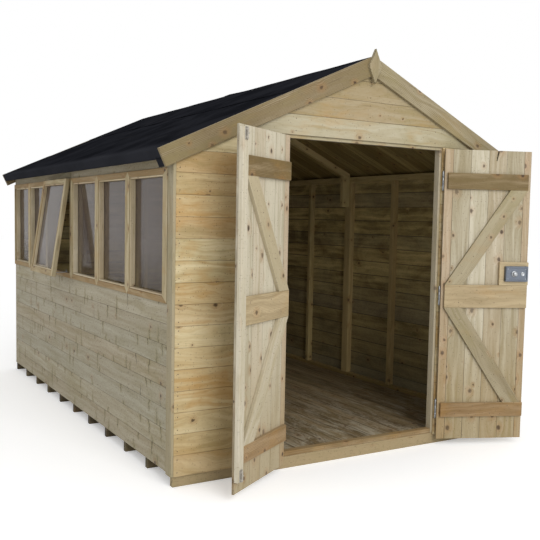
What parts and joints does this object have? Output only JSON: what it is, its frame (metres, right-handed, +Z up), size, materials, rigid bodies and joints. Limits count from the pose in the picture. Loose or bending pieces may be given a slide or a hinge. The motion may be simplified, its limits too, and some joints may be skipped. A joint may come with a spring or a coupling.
{
  "type": "garden shed",
  "caption": "Timber garden shed with an apex felt roof, board-clad walls, a strip of side windows with a propped casement, and ledged and braced double doors.",
  "frame": {"origin": "on the ground at the middle of the floor, under the middle joist", "axes": "+X to the right seen from the doors, +Y along the shed from the doors to the back wall, +Z up"},
  "size_m": [2.6483, 4.0002, 2.3799],
  "materials": {
    "floor_timber": "rough sawn, dulled",
    "frame_timber": "sawn, in shade",
    "cladding": "planed boards, weathered",
    "trim": "planed, weathered",
    "window_timber": "planed",
    "door_timber": "planed, pale",
    "felt": "mineral roofing felt",
    "glazing": "clear sheet",
    "steel": "zinc plated, dull"
  },
  "bodies": {
    "shed": {"floor_joists": "floor_timber", "floor_deck": "floor_timber", "wall_bottom_plates": "frame_timber", "door_sill": "frame_timber", "front_posts": "frame_timber", "door_header": "frame_timber", "back_studs": "frame_timber", "side_studs": "frame_timber", "wall_top_plates": "frame_timber", "front_left_panel": "cladding", "front_right_panel": "cladding", "front_gable_panel": "cladding", "back_panel": "cladding", "left_lower_panel": "cladding", "left_upper_panel": "cladding", "right_panel": "cladding", "corner_strips": "trim", "window_posts": "window_timber", "window_rails": "window_timber", "window_panes": "glazing", "casement_stiles": "window_timber", "casement_rails": "window_timber", "window_stay": "steel", "roof_panels": "frame_timber", "eave_battens": "frame_timber", "roof_rafters": "frame_timber", "truss_blocks": "frame_timber", "felt_side_courses": "felt", "felt_ridge_course": "felt", "front_bargeboards": "trim", "back_bargeboards": "trim", "gable_finial": "trim", "hinge_plates": "steel"},
    "left_door": {"left_door_boards": "door_timber", "left_door_ledges": "door_timber", "left_door_braces": "door_timber", "left_door_closing_strip": "door_timber", "left_door_hinges": "steel", "left_door_bolts": "steel"},
    "right_door": {"right_door_boards": "door_timber", "right_door_ledges": "door_timber", "right_door_braces": "door_timber", "right_door_lock_block": "door_timber", "right_door_lock": "steel", "right_door_hinges": "steel"}
  },
  "joints": [
    {"name": "left_door_hinge", "type": "hinge", "parent": "shed", "child": "left_door", "pos_m": [-0.5645, -1.8135, 0.9435], "axis": [0, 0, -1], "range_deg": [-147, 18]},
    {"name": "right_door_hinge", "type": "hinge", "parent": "shed", "child": "right_door", "pos_m": [0.5645, -1.8135, 0.9435], "axis": [0, 0, 1], "range_deg": [-156.4, 8.6]}
  ]
}
